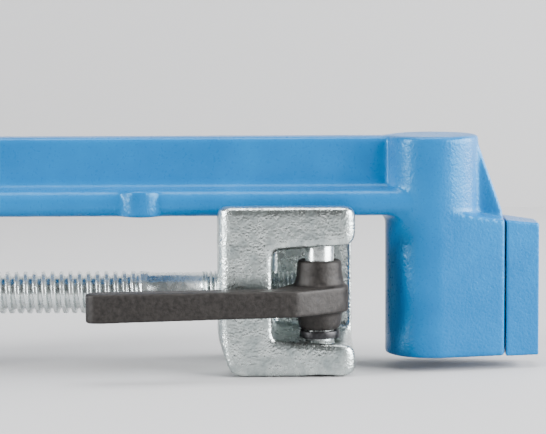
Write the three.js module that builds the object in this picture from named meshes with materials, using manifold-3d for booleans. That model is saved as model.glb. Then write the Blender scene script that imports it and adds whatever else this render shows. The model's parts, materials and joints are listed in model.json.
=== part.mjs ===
// Screw-driven bar clamp with a quick-turning cam lever.
// Millimetres, +Z up. +X runs along the bar from the nut column to the jaw head, -Y is the lever's side.
// The origin is on the floor, at the middle of the nut column's foot, in the bar's middle plane.
import * as THREE from 'three';
import { mergeVertices } from 'three/addons/utils/BufferGeometryUtils.js';
import Module from 'manifold-3d';

const wasm = await Module();
wasm.setup();

// ---- clearances ----
const GAP = 0.3;            // between pieces that touch or turn in each other
const SLIDE_GAP = 0.3;      // between the bar's flange and what slides on it

// ---- bar and columns ----
const COLUMN_SPACING = 194.8;
const COLUMN_RADIUS = 15.5;
const COLUMN_TOP = 77.5;
const COLUMN_EDGE = 0.8;
const COLUMN_FOOT_EDGE = 0.4;
const COLUMN_FILLET = 3;           // under the bar's flange
const BAR_TOP = 77.2;
const WEB_THICKNESS = 10;
const FLANGE_WIDTH = 27.4;
const FLANGE_THICKNESS = 8.9;
const FLANGE_BOTTOM = 51.3;
const FLANGE_ROUND = 3.6;
const WEB_FILLET = 3;
const WEB_EDGE = 2;
const BAR_BOSS_RADIUS = 7.4;       // half-round bosses on the flange's two edges
const BAR_BOSS_X = 98.3;
const BAR_BOSS_PROUD = 2.4;
const GUSSET_THICKNESS = 10;

// ---- jaw head ----
const HEAD_BOTTOM = 4.3;
const JAW_LENGTH = 23.8;           // from the column's middle to the end plate
const JAW_TOP_AT_COLUMN = 53.9;
const JAW_TOP_AT_PLATE = 49.7;
const JAW_TAPER = THREE.MathUtils.degToRad(14);
const GUSSET_TOP_REACH = 14.2;
const GUSSET_FOOT_INSET = 0.4;
const PLATE_THICKNESS = 11.5;
const PLATE_DROP = 1.4;            // fall of the end plate's top edge along its thickness
const PLATE_SCREW_INSET = 10;      // from the plate's top and bottom edges
const PLATE_SCREW_RADIUS = 2.5;
const PLATE_SCREW_HEAD = 4.6;
const PLATE_SCREW_LENGTH = 20;
const DOWEL_RADIUS = 1.5;
const DOWEL_LENGTH = 10;
const DOWEL_SPREAD = 9.4;

// ---- screw ----
const SCREW_AXIS_HEIGHT = 25;
const SCREW_RADIUS = 7;
const SCREW_LEFT_END = -60;
const COARSE_THREAD_END = 92;
const SHANK_RADIUS = 6.7;
const FINE_THREAD_START = 117.6;
const SCREW_RIGHT_END = 151.5;
const SCREW_CHAMFER = 1.4;
const STOP_PIN_RADIUS = 1.5;
const STOP_PIN_LENGTH = 20;
const STOP_PIN_INSET = 5;

// ---- nut column's drive ----
const BOSS_WALL = 4.7;             // casting around the bush
const BOSS_OUTER_REACH = 21;
const BOSS_INNER_REACH = 16.5;
const NUT_WALL = 1.7;
const BUSH_WALL = 2.2;
const BUSH_FLANGE_REACH = 2.5;     // of the bush's flange beyond its sleeve
const BUSH_FLANGE_THICKNESS = 2.7;
const WASHER_THICKNESS = 2;
const INNER_WASHER_REACH = 4.2;    // of the inner thrust washer beyond the nut
const OUTER_WASHER_REACH = 0.8;    // of the outer thrust washer beyond the bush's flange
const RING_THICKNESS = 1.5;
const RING_REACH = 2.4;            // of the retaining ring beyond the nut
const RING_DEPTH = 0.8;            // how far the ring sits into the nut
const NUT_TAIL = 1.8;              // nut left beyond the ring
const NUT_HEAD_REACH = 2.8;
const NUT_HEAD_LENGTH = 3.2;
const WHEEL_RADIUS = 19;
const WHEEL_LOBE = 3.4;
const WHEEL_LOBES = 4;
const WHEEL_WIDTH = 13.4;
const GRUB_RADIUS = 2.5;

// ---- yoke ----
const YOKE_LEFT = 123.6;
const YOKE_LENGTH = 45.2;
const YOKE_WIDTH = 50;
const YOKE_HEIGHT = 55.7;
const YOKE_WALL = 18.1;            // wall that the screw is fixed in
const YOKE_HEEL = [4.6, 12.7];     // length and height of the slope at the left foot
const YOKE_BACK_WALL = 11;
const POCKET_FLOOR = 12.3;
const POCKET_HEIGHT = 28.8;
const POCKET_DRAFT = 1.8;          // growth of the pocket up and down, from its end wall to its open side
const POCKET_MOUTH = 3.5;          // radius of the two tips beside the pocket's open side
const GROOVE_SIDE_GAP = 0.6;       // between the groove's sides and the bar's bosses
const PAD_THICKNESS = 1.6;
const PAD_LENGTH = 38;
const PAD_WIDTH = 8;
const PAD_OFFSET = 8;              // from the bar's middle plane to a pad's middle
const LOCK_SCREW_RADIUS = 3;
const LOCK_SCREW_LENGTH = 12;

// ---- cam lever ----
const PIN_RADIUS = 4.75;
const PIN_INSET = 11.7;            // from the yoke's right face
const PIN_FRONT_INSET = 8.5;       // from the yoke's front face
const PIN_BOTTOM = 1.2;
const PIN_ROOF = 2.6;              // metal between the pin's blind hole and the groove above it
const PIN_RING_REACH = 2.65;
const PIN_RING_RECESS = 3.4;
const HUB_RADIUS = 9.6;
const COLLAR_WALL = 2.25;
const COLLAR_TOP = 37.8;
const COLLAR_BOTTOM = 14.8;
const LEVER_BOTTOM = 20.8;
const LEVER_THICKNESS = 8.7;
const WASHER_LIFT = 0.4;           // of the hub's washer above the pocket's sloping floor
const HUB_WASHER_INSET = 0.7;      // of the washer's edge from the collar's
const LOBE_RADIUS = 7;
const LOBE_OFFSET = [-7, -9];
const ARM_ROOT_RADIUS = 4.5;
const ARM_ROOT_OFFSET = [-9, -13.4];
const ARM_TIP_RADIUS = 4;
const ARM_TIP_OFFSET = [-71.2, -20.2];
const ARM_DROOP = 0.9;             // of the arm's underside, from its root to its tip
const ARM_THICKENING = 0.9;        // the tip is this much thicker than the root

// ---- worked out from the above ----
const SEGMENTS = 48;
const YOKE_RIGHT = YOKE_LEFT + YOKE_LENGTH;
const POCKET_LEFT = YOKE_LEFT + YOKE_WALL;
const PIN_X = YOKE_RIGHT - PIN_INSET;
const PIN_Y = -YOKE_WIDTH / 2 + PIN_FRONT_INSET;
const SPLIT_X = COLUMN_SPACING + JAW_LENGTH;
const NUT_RADIUS = SCREW_RADIUS + GAP + NUT_WALL;
const NUT_HEAD_RADIUS = NUT_RADIUS + NUT_HEAD_REACH;
const BUSH_RADIUS = NUT_RADIUS + GAP + BUSH_WALL;
const BUSH_FLANGE_RADIUS = BUSH_RADIUS + BUSH_FLANGE_REACH;
const BOSS_RADIUS = BUSH_RADIUS + GAP + BOSS_WALL;
const RING_RADIUS = NUT_RADIUS + RING_REACH;
const PIN_RING_RADIUS = PIN_RADIUS + PIN_RING_REACH;
const COLLAR_RADIUS = PIN_RADIUS + GAP + COLLAR_WALL;
const HUB_WASHER_RADIUS = COLLAR_RADIUS - HUB_WASHER_INSET;
const BUSH_LEFT = -BOSS_OUTER_REACH - GAP - BUSH_FLANGE_THICKNESS;
const OUTER_WASHER_LEFT = BUSH_LEFT - GAP - WASHER_THICKNESS;
const WHEEL_LEFT = OUTER_WASHER_LEFT - GAP - WHEEL_WIDTH;
const NUT_LEFT = WHEEL_LEFT - GAP - NUT_HEAD_LENGTH;
const INNER_WASHER_RIGHT = BOSS_INNER_REACH + GAP + WASHER_THICKNESS;
const RING_LEFT = INNER_WASHER_RIGHT + GAP;
const NUT_RIGHT = RING_LEFT + RING_THICKNESS + GAP + NUT_TAIL;
const GROOVE_HALF = FLANGE_WIDTH / 2 + BAR_BOSS_PROUD + GROOVE_SIDE_GAP;
const GROOVE_FLOOR = FLANGE_BOTTOM - SLIDE_GAP - PAD_THICKNESS - GAP;
const PIN_TOP = GROOVE_FLOOR - PIN_ROOF;

// Local axes of a flat outline that is extruded along X, Y or Z.
const UNIT = { X: new THREE.Vector3(1, 0, 0), Y: new THREE.Vector3(0, 1, 0), Z: new THREE.Vector3(0, 0, 1) };
const BASIS = {
  X: new THREE.Matrix4().makeBasis(UNIT.Y, UNIT.Z, UNIT.X),
  Y: new THREE.Matrix4().makeBasis(UNIT.Z, UNIT.X, UNIT.Y),
  Z: new THREE.Matrix4(),
};

// A closed geometry with shared corners becomes a solid; its thin slivers at the poles are dropped.
function solid(geometry) {
  const bare = geometry.clone();
  bare.deleteAttribute('normal');
  bare.deleteAttribute('uv');
  const merged = mergeVertices(bare, 1e-4);
  const source = merged.index.array;
  const kept = [];
  for (let i = 0; i < source.length; i += 3) {
    const [a, b, c] = [source[i], source[i + 1], source[i + 2]];
    if (a !== b && b !== c && c !== a) kept.push(a, b, c);
  }
  const vertProperties = new Float32Array(merged.attributes.position.array);
  return new wasm.Manifold(new wasm.Mesh({ numProp: 3, vertProperties, triVerts: new Uint32Array(kept) }));
}

function join(...solids) {
  return solids.reduce((whole, piece) => whole.add(piece));
}

function cut(whole, ...tools) {
  return tools.reduce((rest, tool) => rest.subtract(tool), whole);
}

// Corners are [u, v] or [u, v, radius]; a corner with a radius is rounded by a tangent arc.
function outline(corners) {
  const points = [];
  corners.forEach(([u, v, radius = 0], i) => {
    const corner = new THREE.Vector2(u, v);
    if (!radius) {
      points.push(corner);
      return;
    }
    const next = corners[(i + 1) % corners.length];
    const before = new THREE.Vector2(...corners.at(i - 1).slice(0, 2)).sub(corner).normalize();
    const after = new THREE.Vector2(...next.slice(0, 2)).sub(corner).normalize();
    const half = Math.acos(before.dot(after)) / 2;
    const middle = before.clone().add(after).normalize().multiplyScalar(radius / Math.sin(half)).add(corner);
    const start = before.clone().multiplyScalar(radius / Math.tan(half)).add(corner).sub(middle);
    const end = after.clone().multiplyScalar(radius / Math.tan(half)).add(corner).sub(middle);
    const sweep = Math.atan2(start.cross(end), start.dot(end));
    const steps = Math.max(2, Math.ceil(Math.abs(sweep) / (Math.PI / 12)));
    for (let k = 0; k <= steps; k += 1) {
      points.push(start.clone().rotateAround(new THREE.Vector2(), (sweep * k) / steps).add(middle));
    }
  });
  return new THREE.Shape(points);
}

// The outline around two circles and their outer tangents.
function belt([u1, v1], r1, [u2, v2], r2) {
  const heading = Math.atan2(v2 - v1, u2 - u1);
  const spread = Math.acos((r1 - r2) / Math.hypot(u2 - u1, v2 - v1));
  const shape = new THREE.Shape();
  shape.absarc(u1, v1, r1, heading + spread, heading - spread + 2 * Math.PI, false);
  shape.absarc(u2, v2, r2, heading - spread, heading + spread, false);
  return shape;
}

function prism(shape, axis, from, to, curveSegments = 20) {
  const options = { depth: to - from, bevelEnabled: false, curveSegments };
  const geometry = new THREE.ExtrudeGeometry(shape, options);
  geometry.translate(0, 0, from);
  geometry.applyMatrix4(BASIS[axis]);
  return solid(geometry);
}

function block([x0, x1], [y0, y1], [z0, z1]) {
  return prism(outline([[x0, y0], [x1, y0], [x1, y1], [x0, y1]]), 'Z', z0, z1);
}

// Profile points are [radius, height along the axis].
// The axis goes through (a, b) of the other two directions.
function turned(profile, axis, a = 0, b = 0, segments = SEGMENTS) {
  const geometry = new THREE.LatheGeometry(profile.map(([r, h]) => new THREE.Vector2(r, h)), segments);
  geometry.rotateX(Math.PI / 2);
  geometry.translate(a, b, 0);
  geometry.applyMatrix4(BASIS[axis]);
  return solid(geometry);
}

function rod(radius, axis, from, to, a = 0, b = 0, segments = SEGMENTS) {
  return turned([[0, from], [radius, from], [radius, to], [0, to]], axis, a, b, segments);
}

function ring(inner, outer, from, to, axis, a, b, segments = SEGMENTS) {
  const profile = [[inner, from], [outer, from], [outer, to], [inner, to], [inner, from]];
  return turned(profile, axis, a, b, segments);
}

// What turns about the screw's axis, which runs along X.
function onScrew(profile, segments = SEGMENTS) {
  return turned(profile, 'X', 0, SCREW_AXIS_HEIGHT, segments);
}

function barBody() {
  const flange = FLANGE_WIDTH / 2;
  const web = WEB_THICKNESS / 2;
  const shoulder = FLANGE_BOTTOM + FLANGE_THICKNESS;
  const right = [
    [flange, FLANGE_BOTTOM, FLANGE_ROUND], [flange, shoulder, FLANGE_ROUND],
    [web, shoulder, WEB_FILLET], [web, BAR_TOP, WEB_EDGE],
  ];
  const left = right.map(([y, z, r]) => [-y, z, r]).reverse();
  const bar = prism(outline([...right, ...left]), 'X', 0, COLUMN_SPACING);
  const bosses = [-1, 1].map((side) => {
    const middle = side * (flange + BAR_BOSS_PROUD - BAR_BOSS_RADIUS);
    return rod(BAR_BOSS_RADIUS, 'Z', FLANGE_BOTTOM, shoulder, BAR_BOSS_X, middle, 32);
  });
  return join(bar, ...bosses);
}

function column(x, bottom) {
  const r = COLUMN_RADIUS;
  const e = COLUMN_EDGE;
  const f = COLUMN_FOOT_EDGE;
  const profile = [[0, bottom], [r - f, bottom], [r, bottom + f], [r, COLUMN_TOP - e], [r - e, COLUMN_TOP]];
  return turned([...profile, [0, COLUMN_TOP]], 'Z', x, 0, 64);
}

// The concave fillet in the corner between a column and the bar's underside, on the column's inner side.
function columnFillet(x, side) {
  const r = COLUMN_RADIUS;
  const f = COLUMN_FILLET;
  const arc = Array.from({ length: 7 }, (_, i) => {
    const angle = (i / 6) * (Math.PI / 2);
    return [r + f * (1 - Math.cos(angle)), FLANGE_BOTTOM - f * (1 - Math.sin(angle))];
  });
  const top = FLANGE_BOTTOM + 1;
  const profile = [
    [r - 2, FLANGE_BOTTOM - f], ...arc, [r + f, top], [r - 2, top], [r - 2, FLANGE_BOTTOM - f],
  ];
  const half = FLANGE_WIDTH / 2 - 1.5;
  const reach = [x, x + side * 2 * r].sort((a, b) => a - b);
  return turned(profile, 'Z', x, 0, 64).intersect(block(reach, [-half, half], [0, COLUMN_TOP]));
}

function gusset(corners) {
  const shape = outline(corners.map(([x, z]) => [z, x]));
  return prism(shape, 'Y', -GUSSET_THICKNESS / 2, GUSSET_THICKNESS / 2);
}

// Half-width of the jaw's tapering sides at x; the sides are tangent to the column.
function jawHalf(x) {
  return (COLUMN_RADIUS - (x - COLUMN_SPACING) * Math.sin(JAW_TAPER)) / Math.cos(JAW_TAPER);
}

// A slice of the tapering jaw between two stations, with its top edge falling from one height to the other.
function jawSlice(x0, x1, top0, top1) {
  const plan = outline([[x0, -jawHalf(x0)], [x1, -jawHalf(x1)], [x1, jawHalf(x1)], [x0, jawHalf(x0)]]);
  const side = outline([[HEAD_BOTTOM, x0], [HEAD_BOTTOM, x1], [top1, x1], [top0, x0]]);
  return prism(plan, 'Z', 0, COLUMN_TOP).intersect(prism(side, 'Y', -COLUMN_RADIUS, COLUMN_RADIUS));
}

function plateHole(radius, height, depth) {
  return rod(radius, 'X', SPLIT_X - depth, SPLIT_X + PLATE_THICKNESS + 1, 0, height, 24);
}

const PLATE_SCREW_HEIGHTS = [
  JAW_TOP_AT_PLATE - PLATE_DROP - PLATE_SCREW_INSET,
  HEAD_BOTTOM + PLATE_SCREW_INSET,
];
const PLATE_SCREW_DEPTH = PLATE_SCREW_LENGTH - PLATE_THICKNESS + GAP;
const DOWEL_HEIGHT = (PLATE_SCREW_HEIGHTS[0] + PLATE_SCREW_HEIGHTS[1]) / 2;

function dowelHole(side) {
  const reach = DOWEL_LENGTH / 2 + GAP;
  const y = (side * DOWEL_SPREAD) / 2;
  return rod(DOWEL_RADIUS + GAP, 'X', SPLIT_X - reach, SPLIT_X + reach, y, DOWEL_HEIGHT, 16);
}

function frameCasting() {
  const jawTop = JAW_TOP_AT_COLUMN;
  const foot = SPLIT_X - GUSSET_FOOT_INSET;
  const jawGusset = gusset([
    [COLUMN_SPACING, jawTop - 8], [foot, JAW_TOP_AT_PLATE - 2], [foot, JAW_TOP_AT_PLATE + 2],
    [COLUMN_SPACING + GUSSET_TOP_REACH, COLUMN_TOP], [COLUMN_SPACING, COLUMN_TOP],
  ]);
  const bossTop = SCREW_AXIS_HEIGHT + BOSS_RADIUS;
  const nutGusset = gusset([
    [0, bossTop - 8], [0, COLUMN_TOP], [-GUSSET_TOP_REACH, COLUMN_TOP],
    [-BOSS_OUTER_REACH + 1, bossTop], [-BOSS_OUTER_REACH + 1, bossTop - 8],
  ]);
  const boss = onScrew([[0, -BOSS_OUTER_REACH], [BOSS_RADIUS, -BOSS_OUTER_REACH],
    [BOSS_RADIUS, BOSS_INNER_REACH], [0, BOSS_INNER_REACH]], 64);
  const body = join(
    barBody(), column(0, 0), column(COLUMN_SPACING, HEAD_BOTTOM), jawGusset, nutGusset, boss,
    columnFillet(0, 1), columnFillet(COLUMN_SPACING, -1),
    jawSlice(COLUMN_SPACING, SPLIT_X, JAW_TOP_AT_COLUMN, JAW_TOP_AT_PLATE),
  );
  const boreLeft = -BOSS_OUTER_REACH - 1;
  const bushBore = rod(BUSH_RADIUS + GAP, 'X', boreLeft, BOSS_INNER_REACH + 1, 0, SCREW_AXIS_HEIGHT);
  const screwHoles = PLATE_SCREW_HEIGHTS.map(
    (z) => plateHole(PLATE_SCREW_RADIUS + GAP, z, PLATE_SCREW_DEPTH),
  );
  return cut(body, bushBore, ...screwHoles, dowelHole(-1), dowelHole(1));
}

function endPlate() {
  const left = SPLIT_X + GAP;
  const right = SPLIT_X + PLATE_THICKNESS;
  const body = jawSlice(left, right, JAW_TOP_AT_PLATE, JAW_TOP_AT_PLATE - PLATE_DROP);
  const holes = PLATE_SCREW_HEIGHTS.flatMap((z) => {
    const head = PLATE_SCREW_HEAD + GAP;
    const neck = PLATE_SCREW_RADIUS + GAP;
    const sink = turned([[0, right - (head - neck)], [neck, right - (head - neck)],
      [head, right], [head, right + 1], [0, right + 1]], 'X', 0, z, 32);
    return [plateHole(neck, z, 1), sink];
  });
  return cut(body, ...holes, dowelHole(-1), dowelHole(1));
}

function plateScrew(height) {
  const right = SPLIT_X + PLATE_THICKNESS - GAP / 2;
  const slope = PLATE_SCREW_HEAD - PLATE_SCREW_RADIUS;
  const body = turned([
    [0, right - PLATE_SCREW_LENGTH + GAP], [PLATE_SCREW_RADIUS, right - PLATE_SCREW_LENGTH + GAP],
    [PLATE_SCREW_RADIUS, right - slope], [PLATE_SCREW_HEAD - GAP / 2, right], [0, right],
  ], 'X', 0, height, 32);
  return cut(body, rod(1.7, 'X', right - 2.2, right + 1, 0, height, 6));
}

function dowel(side) {
  const y = (side * DOWEL_SPREAD) / 2;
  return rod(DOWEL_RADIUS, 'X', SPLIT_X - DOWEL_LENGTH / 2, SPLIT_X + DOWEL_LENGTH / 2, y, DOWEL_HEIGHT, 16);
}

function nutBush() {
  const bore = NUT_RADIUS + GAP;
  const seat = BUSH_LEFT + BUSH_FLANGE_THICKNESS;
  return onScrew([
    [bore, BUSH_LEFT], [BUSH_FLANGE_RADIUS, BUSH_LEFT], [BUSH_FLANGE_RADIUS, seat], [BUSH_RADIUS, seat],
    [BUSH_RADIUS, BOSS_INNER_REACH - GAP], [bore, BOSS_INNER_REACH - GAP], [bore, BUSH_LEFT],
  ]);
}

function driveNut() {
  const bore = SCREW_RADIUS + GAP;
  const groove = NUT_RADIUS - RING_DEPTH;
  const grooveRight = RING_LEFT + RING_THICKNESS + GAP;
  const shoulder = NUT_LEFT + NUT_HEAD_LENGTH;
  return onScrew([
    [bore, NUT_LEFT], [NUT_HEAD_RADIUS - 1, NUT_LEFT], [NUT_HEAD_RADIUS, NUT_LEFT + 1],
    [NUT_HEAD_RADIUS, shoulder], [NUT_RADIUS, shoulder], [NUT_RADIUS, RING_LEFT - GAP],
    [groove, RING_LEFT - GAP], [groove, grooveRight], [NUT_RADIUS, grooveRight],
    [NUT_RADIUS, NUT_RIGHT], [bore, NUT_RIGHT], [bore, NUT_LEFT],
  ]);
}

function handWheel() {
  const points = Array.from({ length: 96 }, (_, i) => {
    const angle = (i / 96) * 2 * Math.PI;
    const r = WHEEL_RADIUS + WHEEL_LOBE * Math.cos(WHEEL_LOBES * (angle - Math.PI / WHEEL_LOBES));
    return new THREE.Vector2(r * Math.cos(angle), r * Math.sin(angle) + SCREW_AXIS_HEIGHT);
  });
  const lobes = prism(new THREE.Shape(points), 'X', WHEEL_LEFT, WHEEL_LEFT + WHEEL_WIDTH);
  const bore = rod(NUT_RADIUS + GAP, 'X', WHEEL_LEFT - 1, WHEEL_LEFT + WHEEL_WIDTH + 1, 0, SCREW_AXIS_HEIGHT);
  const grub = rod(GRUB_RADIUS + GAP, 'Z', SCREW_AXIS_HEIGHT, SCREW_AXIS_HEIGHT + 30, grubX(), 0, 24);
  return cut(lobes, bore, grub);
}

function grubX() {
  return WHEEL_LEFT + WHEEL_WIDTH / 2;
}

function grubScrew() {
  const bottom = SCREW_AXIS_HEIGHT + NUT_RADIUS + GAP;
  const top = SCREW_AXIS_HEIGHT + WHEEL_RADIUS - WHEEL_LOBE - GAP;
  const body = rod(GRUB_RADIUS, 'Z', bottom, top, grubX(), 0, 24);
  return cut(body, rod(1.4, 'Z', top - 2, top + 1, grubX(), 0, 6));
}

function thrustWasher(left, radius) {
  return ring(NUT_RADIUS + GAP, radius, left, left + WASHER_THICKNESS, 'X', 0, SCREW_AXIS_HEIGHT);
}

function outerWasher() {
  return thrustWasher(OUTER_WASHER_LEFT, BUSH_FLANGE_RADIUS + OUTER_WASHER_REACH);
}

function innerWasher() {
  return thrustWasher(BOSS_INNER_REACH + GAP, NUT_RADIUS + INNER_WASHER_REACH);
}

function retainingRing() {
  const inner = NUT_RADIUS - RING_DEPTH + GAP;
  const whole = ring(inner, RING_RADIUS, RING_LEFT, RING_LEFT + RING_THICKNESS, 'X', 0, SCREW_AXIS_HEIGHT);
  const mouth = block([RING_LEFT - 1, RING_LEFT + RING_THICKNESS + 1], [-2, 2],
    [SCREW_AXIS_HEIGHT - RING_RADIUS - 1, SCREW_AXIS_HEIGHT]);
  return cut(whole, mouth);
}

function screwSpindle() {
  const c = SCREW_CHAMFER;
  const runOut = SCREW_RADIUS - SHANK_RADIUS;
  const body = onScrew([
    [0, SCREW_LEFT_END], [SCREW_RADIUS - c, SCREW_LEFT_END], [SCREW_RADIUS, SCREW_LEFT_END + c],
    [SCREW_RADIUS, COARSE_THREAD_END], [SHANK_RADIUS, COARSE_THREAD_END + runOut],
    [SHANK_RADIUS, FINE_THREAD_START - runOut], [SCREW_RADIUS, FINE_THREAD_START],
    [SCREW_RADIUS, SCREW_RIGHT_END - c], [SCREW_RADIUS - c, SCREW_RIGHT_END], [0, SCREW_RIGHT_END],
  ]);
  const stopHole = rod(STOP_PIN_RADIUS + GAP, 'Y', -SCREW_RADIUS - 1, SCREW_RADIUS + 1,
    SCREW_AXIS_HEIGHT, SCREW_LEFT_END + STOP_PIN_INSET, 16);
  return cut(body, stopHole);
}

function endStopPin() {
  const half = STOP_PIN_LENGTH / 2;
  return rod(STOP_PIN_RADIUS, 'Y', -half, half, SCREW_AXIS_HEIGHT, SCREW_LEFT_END + STOP_PIN_INSET, 16);
}

function yoke() {
  const half = YOKE_WIDTH / 2;
  const [heelLength, heelHeight] = YOKE_HEEL;
  const side = outline([
    [0, YOKE_LEFT + heelLength, 3.5], [0, YOKE_RIGHT, 3.3], [YOKE_HEIGHT, YOKE_RIGHT, 3],
    [YOKE_HEIGHT, YOKE_LEFT, 2.7], [heelHeight, YOKE_LEFT, 14],
  ]);
  const plan = outline([
    [YOKE_LEFT, -half, 5], [YOKE_RIGHT, -half, 3.3], [YOKE_RIGHT, half, 3.3], [YOKE_LEFT, half, 5],
  ]);
  const body = prism(side, 'Y', -half, half).intersect(prism(plan, 'Z', 0, YOKE_HEIGHT));
  const open = YOKE_RIGHT + 1;
  const ceiling = POCKET_FLOOR + POCKET_HEIGHT;
  const mouthFloor = POCKET_FLOOR - POCKET_DRAFT;
  const mouthCeiling = ceiling + POCKET_DRAFT;
  const flare = POCKET_MOUTH + 0.1;
  const pocket = prism(outline([
    [POCKET_FLOOR, POCKET_LEFT, 0.8], [mouthFloor, YOKE_RIGHT, POCKET_MOUTH],
    [mouthFloor - flare, YOKE_RIGHT], [mouthFloor - flare, open],
    [mouthCeiling + flare, open], [mouthCeiling + flare, YOKE_RIGHT],
    [mouthCeiling, YOKE_RIGHT, POCKET_MOUTH], [ceiling, POCKET_LEFT, 0.8],
  ]), 'Y', -half - 1, half - YOKE_BACK_WALL);
  const groove = block([YOKE_LEFT - 1, open], [-GROOVE_HALF, GROOVE_HALF], [GROOVE_FLOOR, YOKE_HEIGHT + 1]);
  const screwBore = rod(SCREW_RADIUS + GAP, 'X', YOKE_LEFT - 1, POCKET_LEFT + 1, 0, SCREW_AXIS_HEIGHT);
  const pinBore = rod(PIN_RADIUS + GAP, 'Z', -1, PIN_TOP + GAP, PIN_X, PIN_Y);
  const ringRecess = rod(PIN_RING_RADIUS + GAP, 'Z', -1, PIN_RING_RECESS, PIN_X, PIN_Y);
  const lockX = YOKE_LEFT + YOKE_WALL / 2;
  const lockBore = rod(LOCK_SCREW_RADIUS + GAP, 'Y', 0, half + 1, SCREW_AXIS_HEIGHT, lockX, 24);
  return cut(body, pocket, groove, screwBore, pinBore, ringRecess, lockBore);
}

function lockScrew() {
  const tip = SCREW_RADIUS + GAP;
  const head = tip + LOCK_SCREW_LENGTH;
  const x = YOKE_LEFT + YOKE_WALL / 2;
  const body = rod(LOCK_SCREW_RADIUS, 'Y', tip, head, SCREW_AXIS_HEIGHT, x, 24);
  return cut(body, rod(1.7, 'Y', head - 2.5, head + 1, SCREW_AXIS_HEIGHT, x, 6));
}

function guidePad(side) {
  const left = YOKE_LEFT + (YOKE_LENGTH - PAD_LENGTH) / 2;
  const right = left + PAD_LENGTH;
  const inner = side * (PAD_OFFSET - PAD_WIDTH / 2);
  const outer = side * (PAD_OFFSET + PAD_WIDTH / 2);
  const [from, to] = [inner, outer].sort((a, b) => a - b);
  const plan = outline([[left, from, 1.5], [right, from, 1.5], [right, to, 1.5], [left, to, 1.5]]);
  return prism(plan, 'Z', GROOVE_FLOOR + GAP, FLANGE_BOTTOM - SLIDE_GAP);
}

function pivotPin() {
  const groove = [PIN_BOTTOM + 0.7, PIN_BOTTOM + 1.9];
  const waist = PIN_RADIUS - RING_DEPTH;
  return turned([
    [0, PIN_BOTTOM], [PIN_RADIUS, PIN_BOTTOM], [PIN_RADIUS, groove[0]], [waist, groove[0]],
    [waist, groove[1]], [PIN_RADIUS, groove[1]], [PIN_RADIUS, PIN_TOP - 1], [PIN_RADIUS - 1, PIN_TOP],
    [0, PIN_TOP],
  ], 'Z', PIN_X, PIN_Y, 40);
}

function pinRing() {
  const inner = PIN_RADIUS - RING_DEPTH + GAP;
  const whole = ring(inner, PIN_RING_RADIUS, PIN_BOTTOM + 0.9, PIN_BOTTOM + 1.7, 'Z', PIN_X, PIN_Y, 40);
  return cut(whole, block([PIN_X - 1.6, PIN_X + 1.6], [PIN_Y - 10, PIN_Y], [0, PIN_RING_RECESS]));
}

function hubWasher() {
  const farSide = (PIN_X - HUB_WASHER_RADIUS - POCKET_LEFT) / (YOKE_RIGHT - POCKET_LEFT);
  const bottom = POCKET_FLOOR - POCKET_DRAFT * farSide + WASHER_LIFT;
  return ring(PIN_RADIUS + GAP, HUB_WASHER_RADIUS, bottom, COLLAR_BOTTOM - GAP, 'Z', PIN_X, PIN_Y, 40);
}

// The arm droops a little and thickens from its root to its tip.
function leverArm() {
  const shape = belt(ARM_ROOT_OFFSET, ARM_ROOT_RADIUS, ARM_TIP_OFFSET, ARM_TIP_RADIUS);
  const options = { depth: 1, bevelEnabled: false, curveSegments: 12 };
  const geometry = new THREE.ExtrudeGeometry(shape, options);
  const corners = geometry.getAttribute('position');
  const armLength = ARM_TIP_OFFSET[0] - ARM_ROOT_OFFSET[0];
  for (let i = 0; i < corners.count; i += 1) {
    const along = (corners.getX(i) - ARM_ROOT_OFFSET[0]) / armLength;
    const thickness = LEVER_THICKNESS + ARM_THICKENING * along;
    corners.setZ(i, LEVER_BOTTOM - ARM_DROOP * along + thickness * corners.getZ(i));
  }
  return solid(geometry);
}

function camLever() {
  const top = LEVER_BOTTOM + LEVER_THICKNESS;
  const plate = join(
    prism(belt([0, 0], HUB_RADIUS, LOBE_OFFSET, LOBE_RADIUS), 'Z', LEVER_BOTTOM, top, 16),
    prism(belt(LOBE_OFFSET, LOBE_RADIUS, ARM_ROOT_OFFSET, ARM_ROOT_RADIUS), 'Z', LEVER_BOTTOM, top, 16),
  );
  const hub = turned([
    [0, COLLAR_BOTTOM], [COLLAR_RADIUS - 1.2, COLLAR_BOTTOM], [COLLAR_RADIUS - 0.4, COLLAR_BOTTOM + 1],
    [COLLAR_RADIUS + 0.3, LEVER_BOTTOM], [COLLAR_RADIUS + 1, top], [COLLAR_RADIUS + 0.4, top + 2.6],
    [COLLAR_RADIUS, COLLAR_TOP - 0.6], [COLLAR_RADIUS - 0.6, COLLAR_TOP], [0, COLLAR_TOP],
  ], 'Z');
  const body = join(plate, leverArm(), hub);
  const bored = cut(body, rod(PIN_RADIUS + GAP, 'Z', 0, COLLAR_TOP + 1));
  return bored.translate([PIN_X, PIN_Y, 0]);
}

const finish = {
  blue: { color: 0x1397cc, roughness: 0.42, metalness: 0 },
  zinc: { color: 0xc4c8c5, roughness: 0.38, metalness: 0.9 },
  dark: { color: 0x46443f, roughness: 0.5, metalness: 0.6 },
  steel: { color: 0xb4b6b6, roughness: 0.32, metalness: 1 },
  oxide: { color: 0x2b2b2d, roughness: 0.45, metalness: 0.7 },
  bronze: { color: 0xb58a4c, roughness: 0.35, metalness: 1 },
  plastic: { color: 0x1d1e20, roughness: 0.55, metalness: 0 },
  nylon: { color: 0xd9d8cf, roughness: 0.6, metalness: 0 },
};

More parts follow.
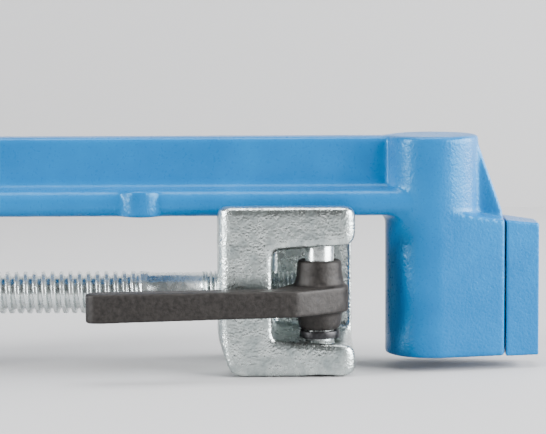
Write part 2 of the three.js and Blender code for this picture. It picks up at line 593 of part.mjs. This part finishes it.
const PIECES = [
  ['frame_casting', frameCasting, 'blue'],
  ['end_plate', endPlate, 'blue'],
  ['end_plate_screw_upper', () => plateScrew(PLATE_SCREW_HEIGHTS[0]), 'oxide'],
  ['end_plate_screw_lower', () => plateScrew(PLATE_SCREW_HEIGHTS[1]), 'oxide'],
  ['end_plate_dowel_front', () => dowel(-1), 'steel'],
  ['end_plate_dowel_rear', () => dowel(1), 'steel'],
  ['nut_bush', nutBush, 'bronze'],
  ['drive_nut', driveNut, 'steel'],
  ['hand_wheel', handWheel, 'plastic'],
  ['wheel_grub_screw', grubScrew, 'oxide'],
  ['thrust_washer_outer', outerWasher, 'steel'],
  ['thrust_washer_inner', innerWasher, 'steel'],
  ['retaining_ring', retainingRing, 'oxide'],
  ['yoke', yoke, 'zinc'],
  ['screw_spindle', screwSpindle, 'zinc'],
  ['end_stop_pin', endStopPin, 'steel'],
  ['spindle_lock_screw', lockScrew, 'oxide'],
  ['guide_pad_front', () => guidePad(-1), 'nylon'],
  ['guide_pad_rear', () => guidePad(1), 'nylon'],
  ['pivot_pin', pivotPin, 'zinc'],
  ['pin_ring', pinRing, 'oxide'],
  ['hub_washer', hubWasher, 'oxide'],
  ['cam_lever', camLever, 'dark'],
];

function meshOf([name, make, finishName]) {
  const { vertProperties, triVerts } = make().getMesh();
  const geometry = new THREE.BufferGeometry();
  geometry.setAttribute('position', new THREE.BufferAttribute(vertProperties, 3));
  geometry.setIndex(new THREE.BufferAttribute(triVerts, 1));
  geometry.computeVertexNormals();
  const mesh = new THREE.Mesh(geometry, new THREE.MeshStandardMaterial(finish[finishName]));
  mesh.name = name;
  return mesh;
}

const clamp = new THREE.Group();
PIECES.forEach((piece) => clamp.add(meshOf(piece)));

export default clamp;
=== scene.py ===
"""Looks of a screw-driven bar clamp: painted casting, zinc-plated yoke and spindle, dark cam lever."""
import json
import math

import bmesh
import bpy
from mathutils import Matrix, Vector, noise


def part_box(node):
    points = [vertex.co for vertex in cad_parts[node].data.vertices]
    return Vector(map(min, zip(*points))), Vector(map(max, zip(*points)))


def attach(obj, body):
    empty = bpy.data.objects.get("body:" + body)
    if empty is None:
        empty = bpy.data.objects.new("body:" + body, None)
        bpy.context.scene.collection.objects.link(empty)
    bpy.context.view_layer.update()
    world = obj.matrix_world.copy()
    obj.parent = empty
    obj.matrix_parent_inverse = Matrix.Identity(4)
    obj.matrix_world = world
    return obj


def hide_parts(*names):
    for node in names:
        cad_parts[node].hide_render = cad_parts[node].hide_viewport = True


MM = 0.001
MERGE_DISTANCE = 0.002 * MM      # corners nearer to each other than this are one corner
PATTERN_LOW = 0.3                # noise patterns lie mostly between these two values
PATTERN_HIGH = 0.7

# ---- edges of the turned and milled parts, in degrees between faces ----
FLAT_BELOW = 0.6
BEVELLED_ABOVE = 34
SHARP_ABOVE = 40
SHARP_ABOVE_ON_THREADS = 50

# ---- spindle, in millimetres ----
COARSE_PITCH = 3.0
COARSE_DEPTH = 1.6
COARSE_FLANK = (0.34, 0.7)       # from and to, as shares of the way from the crest's middle to the root's
COARSE_RUN_OUT = 10.0
FINE_PITCH = 1.5
FINE_DEPTH = 0.92
FINE_FLANK = (0.12, 0.88)
FINE_RUN_OUT = 1.5
SHANK_BELOW_CREST = 0.5
SHANK_LENGTH = 18.5
FINE_BEFORE_YOKE = 5.0
SHOULDER = 0.6                   # length of the step between a thread and the shank
END_CHAMFER = 1.5
END_FACE_BELOW_CREST = 1.6
THREAD_STEP = 0.13               # between the rings of corners that the threads are cut in
RING_CORNERS = 48
CORE_SHARE = 0.8                 # corners within this share of the radius stay where they are

# ---- room and lights: places and sizes in metres from the middle of the view, powers in watts ----
ROOM_REACH = 3.0
WALL_BEHIND = 0.55
SOFTBOXES = {
    "softbox_right": ((1.0, -0.18, 0.3), (1.3, 0.7), 74),
    "softbox_left": ((-0.87, -0.4, 0.3), (0.2, 0.7), 23),
    "softbox_top": ((0.0, 0.0, 1.0), (0.8, 0.5), 12),
}
AIR_STRENGTH = 0.14

# ---- camera ----
VIEW_DISTANCE = 800 * MM
VIEW_ELEVATION = math.radians(5.7)
VIEW_ROLL = math.radians(-0.25)
VIEW_HEIGHT = 50 * MM
VIEW_BEFORE_JAW = 88.1 * MM      # from the jaw's outer face back to the middle of the view
LENS_MM = 158.2
SENSOR_MM = 36
NEAREST_SEEN = 10 * MM


# =====================================================================================================
# Small helpers
# =====================================================================================================

def linear(hex_colour):
    """An sRGB hex colour as the linear values that a shader takes."""
    channels = [int(hex_colour[i:i + 2], 16) / 255 for i in (1, 3, 5)]
    return [c / 12.92 if c <= 0.04045 else ((c + 0.055) / 1.055) ** 2.4 for c in channels] + [1.0]


def per_mm(size):
    """Texture scale whose features are about this many millimetres across."""
    return 1 / (size * MM)


def add(tree, kind, inputs=None, **settings):
    """Adds a node, with its settings, and its inputs as values or as sockets to link from."""
    made = tree.nodes.new(kind)
    for key, value in settings.items():
        setattr(made, key, value)
    for socket, value in (inputs or {}).items():
        if isinstance(value, bpy.types.NodeSocket):
            tree.links.new(value, made.inputs[socket])
        else:
            made.inputs[socket].default_value = value
    return made


def finish(name, **constants):
    """A material with its constant values on the shader's own sockets."""
    material = bpy.data.materials.new(name)
    material.use_nodes = True
    tree = material.node_tree
    shader = tree.nodes["Principled BSDF"]
    for socket, value in constants.items():
        shader.inputs[socket.replace("_", " ")].default_value = value
    where = add(tree, "ShaderNodeTexCoord").outputs["Object"]
    return material, tree, shader, where


def tint(tree, shader, pattern, low, dark, high, light):
    """Base colour that goes from dark to light as the pattern goes from low to high."""
    ramp = add(tree, "ShaderNodeValToRGB", {"Fac": pattern})
    first, last = ramp.color_ramp.elements
    first.position, first.color = low, linear(dark)
    last.position, last.color = high, linear(light)
    tree.links.new(ramp.outputs["Color"], shader.inputs["Base Color"])


def wear_gloss(tree, shader, pattern, smooth, rough):
    """Roughness that varies with the pattern between a smooth and a rough value."""
    spread = add(tree, "ShaderNodeMapRange", {"Value": pattern,
                                              "From Min": PATTERN_LOW, "From Max": PATTERN_HIGH,
                                              "To Min": smooth, "To Max": rough})
    tree.links.new(spread.outputs["Result"], shader.inputs["Roughness"])


def relief(tree, shader, pattern, depth_mm):
    """Adds a pattern of this depth to the surface's relief."""
    bump = add(tree, "ShaderNodeBump", {"Height": pattern, "Distance": depth_mm * MM})
    socket = shader.inputs["Normal"]
    if socket.is_linked:
        tree.links.new(socket.links[0].from_socket, bump.inputs["Normal"])
    tree.links.new(bump.outputs["Normal"], socket)


# =====================================================================================================
# Materials
# =====================================================================================================

def powder_coated_casting():
    """Polyester powder coat on an iron casting: even colour, semi-gloss, orange peel over a cast skin."""
    material, tree, shader, where = finish("powder_coated_casting", Specular_IOR_Level=0.7,
                                           Specular_Tint=linear("#6db4e0"))
    cloud = add(tree, "ShaderNodeTexNoise", {"Vector": where, "Scale": per_mm(16), "Detail": 3.0})
    tint(tree, shader, cloud.outputs["Fac"], 0.3, "#00588f", 0.7, "#00629b")
    peel = add(tree, "ShaderNodeTexNoise", {"Vector": where, "Scale": per_mm(0.9), "Detail": 2.0,
                                            "Roughness": 0.45})
    wear_gloss(tree, shader, peel.outputs["Fac"], 0.26, 0.36)
    skin = add(tree, "ShaderNodeTexNoise", {"Vector": where, "Scale": per_mm(5), "Detail": 3.0})
    relief(tree, shader, skin.outputs["Fac"], 0.16)
    relief(tree, shader, peel.outputs["Fac"], 0.12)
    return material


def zinc_plated_casting():
    """Malleable casting, tumbled and bright zinc plated: grey-white, mottled gloss over a pebbled skin."""
    material, tree, shader, where = finish("zinc_plated_casting", Metallic=1.0)
    mottle = add(tree, "ShaderNodeTexNoise", {"Vector": where, "Scale": per_mm(4.5), "Detail": 5.0,
                                              "Roughness": 0.62})
    tint(tree, shader, mottle.outputs["Fac"], 0.32, "#9ca6a6", 0.68, "#d4dbd8")
    wear_gloss(tree, shader, mottle.outputs["Fac"], 0.34, 0.22)
    pebble = add(tree, "ShaderNodeTexNoise", {"Vector": where, "Scale": per_mm(1.3), "Detail": 4.0,
                                              "Roughness": 0.6})
    relief(tree, shader, pebble.outputs["Fac"], 0.2)
    grit = add(tree, "ShaderNodeTexVoronoi", {"Vector": where, "Scale": per_mm(0.7)}, feature="SMOOTH_F1")
    relief(tree, shader, grit.outputs["Distance"], 0.12)
    return material


def zinc_plated_steel():
    """Rolled and turned steel, bright zinc plated: cool, bright and slightly cloudy."""
    material, tree, shader, where = finish("zinc_plated_steel", Metallic=0.86)
    mottle = add(tree, "ShaderNodeTexNoise", {"Vector": where, "Scale": per_mm(2.5), "Detail": 4.0})
    tint(tree, shader, mottle.outputs["Fac"], 0.3, "#c4cccd", 0.7, "#e6eae8")
    wear_gloss(tree, shader, mottle.outputs["Fac"], 0.2, 0.34)
    fine = add(tree, "ShaderNodeTexNoise", {"Vector": where, "Scale": per_mm(0.7), "Detail": 3.0})
    relief(tree, shader, fine.outputs["Fac"], 0.03)
    return material


def phosphated_forging():
    """Forged steel with an oiled black phosphate: warm dark grey, satin and grainy."""
    material, tree, shader, where = finish("phosphated_forging", Metallic=0.3, Specular_IOR_Level=0.3)
    grain = add(tree, "ShaderNodeTexNoise", {"Vector": where, "Scale": per_mm(1.3), "Detail": 6.0,
                                             "Roughness": 0.65})
    tint(tree, shader, grain.outputs["Fac"], 0.3, "#151312", 0.72, "#2f2c2a")
    wear_gloss(tree, shader, grain.outputs["Fac"], 0.46, 0.62)
    relief(tree, shader, grain.outputs["Fac"], 0.14)
    scale = add(tree, "ShaderNodeTexNoise", {"Vector": where, "Scale": per_mm(6), "Detail": 2.0})
    relief(tree, shader, scale.outputs["Fac"], 0.2)
    return material


def ground_steel():
    """Ground and hardened steel: bright, its grinding lines too fine to see and drawn as a faint mottle."""
    material, tree, shader, where = finish("ground_steel", Metallic=1.0)
    lines = add(tree, "ShaderNodeTexNoise", {"Vector": where, "Scale": per_mm(0.9), "Detail": 5.0})
    tint(tree, shader, lines.outputs["Fac"], 0.3, "#a9abab", 0.7, "#c9cbca")
    wear_gloss(tree, shader, lines.outputs["Fac"], 0.22, 0.34)
    relief(tree, shader, lines.outputs["Fac"], 0.012)
    return material


def turned_steel():
    """Turned steel, lightly oiled: lathe rings around the spindle's axis, drawn coarser than real."""
    material, tree, shader, where = finish("turned_steel", Metallic=1.0)
    rings = add(tree, "ShaderNodeTexWave", {"Vector": where, "Scale": per_mm(0.8) / math.tau,
                                            "Distortion": 0.6}, wave_type="BANDS", bands_direction="X")
    stain = add(tree, "ShaderNodeTexNoise", {"Vector": where, "Scale": per_mm(5), "Detail": 3.0})
    tint(tree, shader, stain.outputs["Fac"], 0.3, "#999b9a", 0.7, "#bdbfbd")
    wear_gloss(tree, shader, stain.outputs["Fac"], 0.26, 0.4)
    relief(tree, shader, rings.outputs["Fac"], 0.012)
    return material


def black_oxide_steel():
    """Screws and rings in black-oxide alloy steel: near black, a little oily."""
    material, tree, shader, where = finish("black_oxide_steel", Metallic=0.7)
    grain = add(tree, "ShaderNodeTexNoise", {"Vector": where, "Scale": per_mm(1.0), "Detail": 4.0})
    tint(tree, shader, grain.outputs["Fac"], 0.3, "#1d1d1f", 0.75, "#38383a")
    wear_gloss(tree, shader, grain.outputs["Fac"], 0.34, 0.48)
    relief(tree, shader, grain.outputs["Fac"], 0.02)
    return material


def bearing_bronze():
    """Cast tin bronze, bored and faced: warm metal with a slightly porous face."""
    material, tree, shader, where = finish("bearing_bronze", Metallic=1.0)
    pores = add(tree, "ShaderNodeTexNoise", {"Vector": where, "Scale": per_mm(1.1), "Detail": 5.0})
    tint(tree, shader, pores.outputs["Fac"], 0.3, "#9c7238", 0.7, "#c79a58")
    wear_gloss(tree, shader, pores.outputs["Fac"], 0.26, 0.42)
    relief(tree, shader, pores.outputs["Fac"], 0.02)
    return material


def moulded_polyamide():
    """Glass-filled polyamide, moulded in a spark-eroded tool: charcoal, matt, with a fine even grain."""
    material, tree, shader, where = finish("moulded_polyamide", Specular_IOR_Level=0.4)
    spark = add(tree, "ShaderNodeTexNoise", {"Vector": where, "Scale": per_mm(0.6), "Detail": 3.0})
    tint(tree, shader, spark.outputs["Fac"], 0.25, "#191a1c", 0.8, "#2c2d30")
    wear_gloss(tree, shader, spark.outputs["Fac"], 0.48, 0.64)
    relief(tree, shader, spark.outputs["Fac"], 0.05)
    return material


def natural_nylon():
    """Extruded natural nylon: cream, waxy, with drag lines along the bar."""
    material, tree, shader, where = finish("natural_nylon", Roughness=0.5, Subsurface_Weight=0.08,
                                           Subsurface_Radius=(0.002, 0.0015, 0.001))
    stretched = add(tree, "ShaderNodeMapping", {"Vector": where, "Scale": (0.08, 1.0, 1.0)})
    drag = add(tree, "ShaderNodeTexNoise", {"Vector": stretched.outputs["Vector"], "Scale": per_mm(0.6),
                                            "Detail": 3.0})
    tint(tree, shader, drag.outputs["Fac"], 0.25, "#cfcbbd", 0.75, "#e3e0d6")
    relief(tree, shader, drag.outputs["Fac"], 0.03)
    return material


# =====================================================================================================
# Making pieces
# =====================================================================================================

def new_piece(name, mesh):
    """Puts a mesh in the scene as an object."""
    piece = bpy.data.objects.new(name, mesh)
    bpy.context.scene.collection.objects.link(piece)
    return piece


def piece_from(bm, name, sharp_degrees=32):
    """Closes a bmesh into an object, smooth but for the edges sharper than the given angle."""
    limit = math.radians(sharp_degrees)
    for edge in bm.edges:
        edge.smooth = len(edge.link_faces) == 2 and edge.calc_face_angle(0.0) < limit
    for face in bm.faces:
        face.smooth = True
    mesh = bpy.data.meshes.new(name)
    bm.to_mesh(mesh)
    bm.free()
    return new_piece(name, mesh)


def settle(piece):
    """Bakes a piece's modifiers into its mesh."""
    bpy.context.view_layer.update()
    evaluated = piece.evaluated_get(bpy.context.evaluated_depsgraph_get())
    mesh = bpy.data.meshes.new_from_object(evaluated)
    piece.modifiers.clear()
    piece.data = mesh
    return piece


def merged_copy(node):
    """A bmesh of a CAD node's solid, with its loose triangles joined."""
    bm = bmesh.new()
    bm.from_mesh(frame["nodes"][node].data)
    bmesh.ops.remove_doubles(bm, verts=bm.verts, dist=MERGE_DISTANCE)
    return bm


def cast_piece(node, name, voxel, softening, grain, grain_size):
    """A casting or forging: the node's solid with its edges and corners blended, and an uneven skin.

    Voxel size, grain depth and grain size are in millimetres, and softening is a number of rounds.
    """
    bm = merged_copy(node)
    piece = piece_from(bm, name)
    skin = piece.modifiers.new("skin", "REMESH")
    skin.mode = "VOXEL"
    skin.voxel_size = voxel * MM
    settle(piece)
    bm = bmesh.new()
    bm.from_mesh(piece.data)
    for _ in range(softening):
        bmesh.ops.smooth_vert(bm, verts=bm.verts, factor=0.5,
                              use_axis_x=True, use_axis_y=True, use_axis_z=True)
    if grain:
        bm.normal_update()
        for vert in bm.verts:
            lump = noise.noise(vert.co / (grain_size * MM)) * 0.5 + 0.5
            vert.co -= vert.normal * lump * grain * MM
    bm.to_mesh(piece.data)
    bm.free()
    piece.data.shade_smooth()
    return piece


def machined_piece(node, name, edge):
    """A turned or milled part: the node's solid with its sharp edges broken."""
    bm = merged_copy(node)
    bmesh.ops.dissolve_limit(bm, angle_limit=math.radians(FLAT_BELOW), verts=bm.verts, edges=bm.edges)
    piece = piece_from(bm, name)
    bevel = piece.modifiers.new("broken_edges", "BEVEL")
    bevel.width = edge * MM
    bevel.segments = 2
    bevel.limit_method = "ANGLE"
    bevel.angle_limit = math.radians(BEVELLED_ABOVE)
    settle(piece)
    bm = bmesh.new()
    bm.from_mesh(piece.data)
    mesh = piece.data
    bpy.data.objects.remove(piece)
    bpy.data.meshes.remove(mesh)
    return piece_from(bm, name, SHARP_ABOVE)


def thread_depth(along, around, pitch, depth, flank):
    """How far the thread's surface lies below the crest, for a right-hand thread with rounded corners."""
    phase = (along / pitch - around / math.tau) % 1.0
    from_crest = abs(phase - 0.5) * 2
    down = min(1.0, max(0.0, (from_crest - flank[0]) / (flank[1] - flank[0])))
    return depth * down * down * (3 - 2 * down)


def fade(along, start, end, length):
    """1 inside the thread, running out to 0 over a length at each end."""
    return max(0.0, min(1.0, (along - start) / length, (end - along) / length))


def spindle_outline(radius, coarse, fine):
    """Half outline of the spindle as (place along it, radius), dense where the threads will be cut."""
    left, right = coarse[0], fine[1]
    shank = radius - SHANK_BELOW_CREST
    end_face = radius - END_FACE_BELOW_CREST
    stations = [(left, 0.0), (left, end_face)]
    for start, end in (coarse, fine):
        count = int((end - start) / THREAD_STEP)
        stations += [(start + (end - start) * i / count, radius) for i in range(count + 1)]
        if end < right:
            stations += [(end + SHOULDER, shank), (fine[0] - SHOULDER, shank)]
    return stations + [(right, end_face), (right, 0.0)]


def cut_threads(bm, axis, radius, coarse, fine):
    """Sinks the spindle's side by the depth of its two threads, and chamfers its ends."""
    left, right = coarse[0], fine[1]
    for vert in bm.verts:
        x = vert.co.x / MM
        arm = Vector((0, vert.co.y, vert.co.z)) - axis
        if arm.length < CORE_SHARE * radius * MM:
            continue
        around = math.atan2(arm.z, arm.y)
        deep = thread_depth(x, around, COARSE_PITCH, COARSE_DEPTH, COARSE_FLANK)
        sunk = deep * fade(x, coarse[0] - COARSE_RUN_OUT, coarse[1], COARSE_RUN_OUT)
        deep = thread_depth(x, around, FINE_PITCH, FINE_DEPTH, FINE_FLANK)
        sunk += deep * fade(x, fine[0], fine[1] + FINE_RUN_OUT, FINE_RUN_OUT)
        chamfer = max(0.0, END_CHAMFER - (x - left), END_CHAMFER - (right - x))
        vert.co -= arm.normalized() * max(sunk, chamfer) * MM


def screw_spindle(name):
    """The spindle, with its coarse and its fine thread cut as real helices."""
    low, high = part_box("screw_spindle")
    radius = (high.z - low.z) / 2 / MM
    axis = Vector((0, (low.y + high.y) / 2, (low.z + high.z) / 2))
    fine = (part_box("yoke")[0].x / MM - FINE_BEFORE_YOKE, high.x / MM)
    coarse = (low.x / MM, fine[0] - SHANK_LENGTH)
    bm = bmesh.new()
    stations = spindle_outline(radius, coarse, fine)
    line = [bm.verts.new(axis + Vector((x * MM, 0, r * MM))) for x, r in stations]
    for first, second in zip(line, line[1:]):
        bm.edges.new((first, second))
    bmesh.ops.spin(bm, geom=bm.verts[:] + bm.edges[:], cent=axis, axis=(1, 0, 0), angle=math.tau,
                   steps=RING_CORNERS, use_merge=True, use_duplicate=False)
    bmesh.ops.remove_doubles(bm, verts=bm.verts, dist=MERGE_DISTANCE)
    cut_threads(bm, axis, radius, coarse, fine)
    bmesh.ops.recalc_face_normals(bm, faces=bm.faces)
    return piece_from(bm, name, SHARP_ABOVE_ON_THREADS)


# =====================================================================================================
# Room, light and camera
# =====================================================================================================

def room():
    """A plain pale table and, behind it, a plain wall that is clear from its far side."""
    table_top, *_ = finish("pale_table", Roughness=0.75, Specular_IOR_Level=0.12,
                           Base_Color=linear("#b0b0b1"))
    bm = bmesh.new()
    bmesh.ops.create_grid(bm, x_segments=1, y_segments=1, size=ROOM_REACH)
    floor = piece_from(bm, "table")
    floor.data.materials.append(table_top)
    wall_paint, tree, shader, _ = finish("grey_wall", Roughness=0.9, Base_Color=linear("#9e9e9f"))
    behind = add(tree, "ShaderNodeNewGeometry").outputs["Backfacing"]
    clear = add(tree, "ShaderNodeBsdfTransparent").outputs["BSDF"]
    one_sided = add(tree, "ShaderNodeMixShader", {"Fac": behind, 1: shader.outputs["BSDF"], 2: clear})
    tree.links.new(one_sided.outputs["Shader"], tree.nodes["Material Output"].inputs["Surface"])
    bm = bmesh.new()
    upright = Matrix.Translation((0, WALL_BEHIND, 0)) @ Matrix.Rotation(math.pi / 2, 4, "X")
    bmesh.ops.create_grid(bm, x_segments=1, y_segments=1, size=ROOM_REACH, matrix=upright)
    wall = piece_from(bm, "wall")
    wall.data.materials.append(wall_paint)


def softbox(name, middle, offset, size, power):
    """A rectangular lamp that stands off the middle of the view and faces it."""
    light = bpy.data.lights.new(name, "AREA")
    light.shape = "RECTANGLE"
    light.size, light.size_y = size
    light.energy = power
    lamp = bpy.data.objects.new(name, light)
    lamp.location = middle + offset
    lamp.rotation_euler = (middle - lamp.location).to_track_quat("-Z", "Y").to_euler()
    bpy.context.scene.collection.objects.link(lamp)


def studio(middle):
    """The softboxes, and an even, weak light from all around."""
    for name, (offset, size, power) in SOFTBOXES.items():
        softbox(name, middle, Vector(offset), size, power)
    world = bpy.data.worlds.new("studio_air")
    world.use_nodes = True
    background = world.node_tree.nodes["Background"]
    background.inputs["Color"].default_value = linear("#e6e8ea")
    background.inputs["Strength"].default_value = AIR_STRENGTH
    bpy.context.scene.world = world


def camera(middle):
    """A long lens that looks along the table at the right half of the clamp."""
    lens = bpy.data.cameras.new("view")
    lens.lens = LENS_MM
    lens.sensor_width = SENSOR_MM
    lens.clip_start = NEAREST_SEEN
    eye = bpy.data.objects.new("view", lens)
    back = Vector((0, -math.cos(VIEW_ELEVATION), math.sin(VIEW_ELEVATION)))
    eye.location = middle + back * VIEW_DISTANCE
    tilt = Matrix.Rotation(math.pi / 2 - VIEW_ELEVATION, 4, "X") @ Matrix.Rotation(VIEW_ROLL, 4, "Z")
    eye.rotation_euler = tilt.to_euler()
    bpy.context.scene.collection.objects.link(eye)
    bpy.context.scene.camera = eye


# =====================================================================================================
# The clamp
# =====================================================================================================

def body_of(node):
    """The moving body that a node belongs to."""
    groups = frame["record"]["behaviour"]["bodies"]
    return next(body for body, nodes in groups.items() if node in nodes)


def fit(piece, node, material):
    """Puts a finished piece in a node's place."""
    piece.data.materials.clear()
    piece.data.materials.append(material)
    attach(piece, body_of(node))
    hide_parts(node)


def build_clamp():
    """Makes every visible piece."""
    blue = powder_coated_casting()
    zinc_cast = zinc_plated_casting()
    zinc = zinc_plated_steel()
    black = black_oxide_steel()
    ground = ground_steel()
    # voxel size, rounds of softening, material, depth and size of the skin's lumps
    castings = {
        "frame_casting": (0.68, 5, blue, 0.08, 6.0),
        "end_plate": (0.4, 3, blue, 0.05, 6.0),
        "yoke": (0.6, 30, zinc_cast, 0.12, 3.5),
        "cam_lever": (0.4, 12, phosphated_forging(), 0.12, 3.0),
        "hand_wheel": (0.42, 9, moulded_polyamide(), 0.0, 1.0),
    }
    for node, (voxel, softening, material, grain, grain_size) in castings.items():
        fit(cast_piece(node, node + "_skin", voxel, softening, grain, grain_size), node, material)
    # width of the broken edges, and material
    machined = {
        "nut_bush": (0.3, bearing_bronze()), "drive_nut": (0.35, turned_steel()),
        "thrust_washer_outer": (0.25, ground), "thrust_washer_inner": (0.25, ground),
        "hub_washer": (0.25, black), "pivot_pin": (0.3, zinc), "end_stop_pin": (0.35, ground),
        "end_plate_dowel_front": (0.3, ground), "end_plate_dowel_rear": (0.3, ground),
        "end_plate_screw_upper": (0.2, black), "end_plate_screw_lower": (0.2, black),
        "wheel_grub_screw": (0.2, black), "spindle_lock_screw": (0.25, black),
        "retaining_ring": (0.15, black), "pin_ring": (0.1, black),
    }
    for node, (edge, material) in machined.items():
        fit(machined_piece(node, node + "_turned", edge), node, material)
    nylon = natural_nylon()
    for node in ("guide_pad_front", "guide_pad_rear"):
        fit(machined_piece(node, node + "_strip", 0.3), node, nylon)
    fit(screw_spindle("screw_spindle_threaded"), "screw_spindle", zinc)


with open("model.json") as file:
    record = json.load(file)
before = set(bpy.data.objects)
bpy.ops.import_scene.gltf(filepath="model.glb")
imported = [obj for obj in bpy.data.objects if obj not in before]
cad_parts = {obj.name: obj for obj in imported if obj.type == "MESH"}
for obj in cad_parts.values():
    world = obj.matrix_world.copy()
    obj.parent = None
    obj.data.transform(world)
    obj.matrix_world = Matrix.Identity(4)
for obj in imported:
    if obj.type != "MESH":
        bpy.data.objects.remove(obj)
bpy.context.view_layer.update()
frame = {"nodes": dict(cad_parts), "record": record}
jaw_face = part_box("end_plate")[1].x
middle_of_view = Vector((jaw_face - VIEW_BEFORE_JAW, 0, VIEW_HEIGHT))
camera(middle_of_view)
studio(middle_of_view)
room()
build_clamp()
